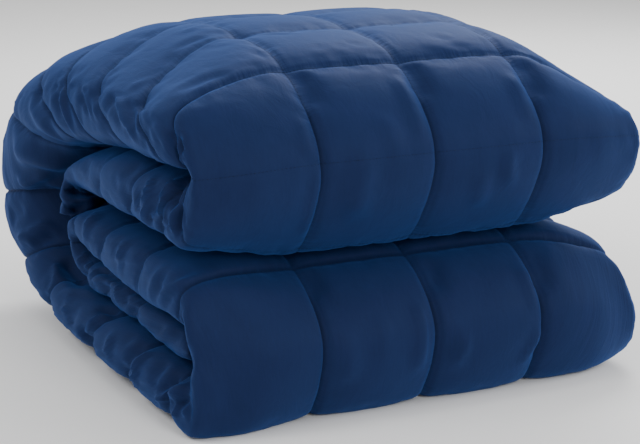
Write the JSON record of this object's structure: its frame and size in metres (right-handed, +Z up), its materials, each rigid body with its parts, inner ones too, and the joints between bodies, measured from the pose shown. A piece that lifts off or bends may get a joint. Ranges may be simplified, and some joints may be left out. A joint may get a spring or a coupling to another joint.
{
  "type": "weighted blanket",
  "caption": "Weighted blanket in brushed microfibre, sewn in filled squares, folded into a strip and doubled over into a thick bundle",
  "frame": {"origin": "under the middle of the bounding box, on the surface that the folded blanket rests on", "axes": "+Z up, -Y is the front with the two rounded front folds, +Y the wide back bend, X across the strip, metres"},
  "size_m": [0.5547, 0.6344, 0.3729],
  "materials": {
    "blanket_cloth": "brushed microfibre with a soft satin sheen"
  },
  "bodies": {
    "root": {"blanket": "blanket_cloth"}
  },
  "joints": []
}
